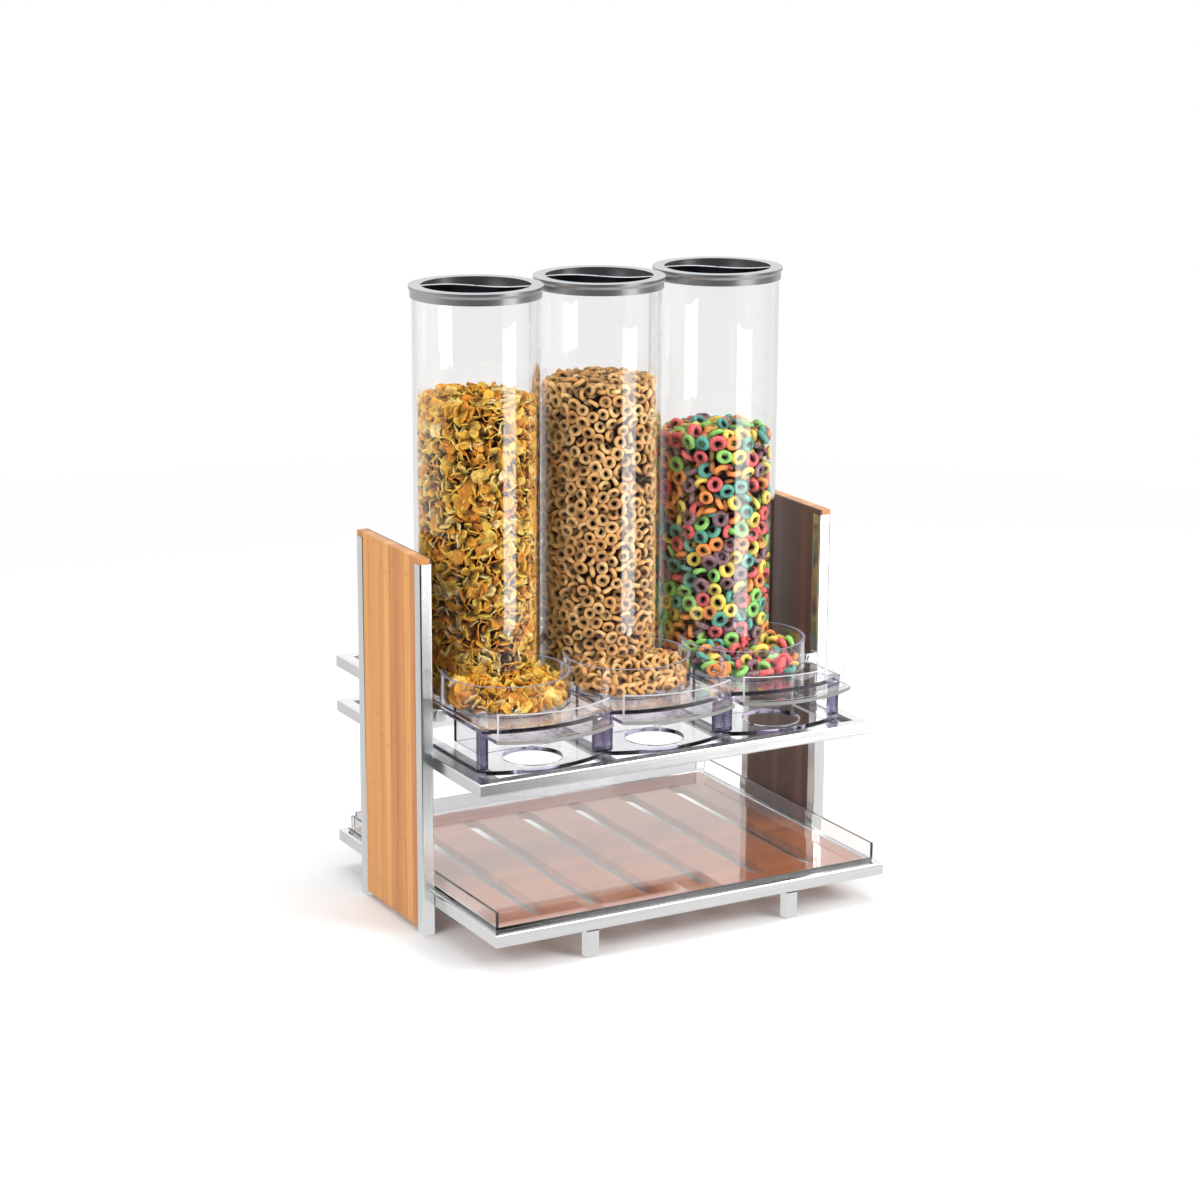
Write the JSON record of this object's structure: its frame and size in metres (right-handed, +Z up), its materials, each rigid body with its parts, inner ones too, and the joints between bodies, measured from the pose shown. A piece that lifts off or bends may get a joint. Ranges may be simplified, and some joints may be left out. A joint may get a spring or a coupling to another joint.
{
  "type": "cereal dispenser",
  "caption": "Stand with two shelves and wood sides that holds clear cereal tubes with lids; each has a pull-out portion drawer over a tray for the bowl.",
  "frame": {"origin": "centre of the stand's footprint on the table", "axes": "+X to the dispenser's right as the user sees it, -Y towards the user, +Z up"},
  "size_m": [0.428, 0.328, 0.576],
  "materials": {
    "polished_steel": "polished",
    "satin_steel": "satin",
    "dark_plastic": "matte",
    "side_bamboo": "satin",
    "board_bamboo": "satin",
    "clear_sheet": "gloss",
    "clear_acrylic": "gloss",
    "clear_tube": "gloss",
    "clear_rubber": "satin",
    "lid_plastic": "satin",
    "corn_flakes": "matte",
    "oat_rings": "matte",
    "coloured_loops": "matte"
  },
  "bodies": {
    "stand": {"post_front_left": "polished_steel", "post_front_right": "polished_steel", "post_rear_left": "polished_steel", "post_rear_right": "polished_steel", "post_plugs": "dark_plastic", "panel_left": "side_bamboo", "panel_right": "side_bamboo", "upper_rail_front": "polished_steel", "upper_rail_rear": "polished_steel", "upper_rail_left": "polished_steel", "upper_rail_right": "polished_steel", "support_strips": "satin_steel", "guard_bar_left": "polished_steel", "guard_bar_right": "polished_steel", "guard_bar_rear": "polished_steel", "guard_plugs": "polished_steel", "lower_rail_front": "polished_steel", "lower_rail_rear": "polished_steel", "lower_rail_left": "polished_steel", "lower_rail_right": "polished_steel", "front_legs": "polished_steel", "leg_spacers": "dark_plastic", "leg_plugs": "dark_plastic", "board_ledges": "satin_steel", "slotted_board": "board_bamboo"},
    "tray": {"tray": "clear_sheet"},
    "dispenser_left": {"base_plate_left": "clear_acrylic", "bumper_feet_left": "clear_rubber", "columns_left": "clear_acrylic", "top_plate_left": "clear_acrylic", "cup_wall_left": "clear_acrylic", "tube_left": "clear_tube", "cereal_left": "corn_flakes"},
    "drawer_left": {"drawer_plate_left": "clear_acrylic", "drawer_pocket_left": "clear_acrylic", "drawer_lip_left": "clear_acrylic"},
    "lid_left": {"lid_left": "lid_plastic"},
    "dispenser_middle": {"base_plate_middle": "clear_acrylic", "bumper_feet_middle": "clear_rubber", "columns_middle": "clear_acrylic", "top_plate_middle": "clear_acrylic", "cup_wall_middle": "clear_acrylic", "tube_middle": "clear_tube", "cereal_middle": "oat_rings"},
    "drawer_middle": {"drawer_plate_middle": "clear_acrylic", "drawer_pocket_middle": "clear_acrylic", "drawer_lip_middle": "clear_acrylic"},
    "lid_middle": {"lid_middle": "lid_plastic"},
    "dispenser_right": {"base_plate_right": "clear_acrylic", "bumper_feet_right": "clear_rubber", "columns_right": "clear_acrylic", "top_plate_right": "clear_acrylic", "cup_wall_right": "clear_acrylic", "tube_right": "clear_tube", "cereal_right": "coloured_loops"},
    "drawer_right": {"drawer_plate_right": "clear_acrylic", "drawer_pocket_right": "clear_acrylic", "drawer_lip_right": "clear_acrylic"},
    "lid_right": {"lid_right": "lid_plastic"}
  },
  "joints": [
    {"name": "tray_slide", "type": "slide", "parent": "stand", "child": "tray", "axis": [0, -1, 0], "range_m": [0, 0.26]},
    {"name": "dispenser_lift_left", "type": "slide", "parent": "stand", "child": "dispenser_left", "axis": [0, 0, 1], "range_m": [0, 0.12]},
    {"name": "drawer_slide_left", "type": "slide", "parent": "dispenser_left", "child": "drawer_left", "axis": [0, -1, 0], "range_m": [0, 0.048]},
    {"name": "lid_lift_left", "type": "slide", "parent": "dispenser_left", "child": "lid_left", "axis": [0, 0, 1], "range_m": [0, 0.08]},
    {"name": "dispenser_lift_middle", "type": "slide", "parent": "stand", "child": "dispenser_middle", "axis": [0, 0, 1], "range_m": [0, 0.12]},
    {"name": "drawer_slide_middle", "type": "slide", "parent": "dispenser_middle", "child": "drawer_middle", "axis": [0, -1, 0], "range_m": [0, 0.048]},
    {"name": "lid_lift_middle", "type": "slide", "parent": "dispenser_middle", "child": "lid_middle", "axis": [0, 0, 1], "range_m": [0, 0.08]},
    {"name": "dispenser_lift_right", "type": "slide", "parent": "stand", "child": "dispenser_right", "axis": [0, 0, 1], "range_m": [0, 0.12]},
    {"name": "drawer_slide_right", "type": "slide", "parent": "dispenser_right", "child": "drawer_right", "axis": [0, -1, 0], "range_m": [0, 0.048]},
    {"name": "lid_lift_right", "type": "slide", "parent": "dispenser_right", "child": "lid_right", "axis": [0, 0, 1], "range_m": [0, 0.08]}
  ]
}
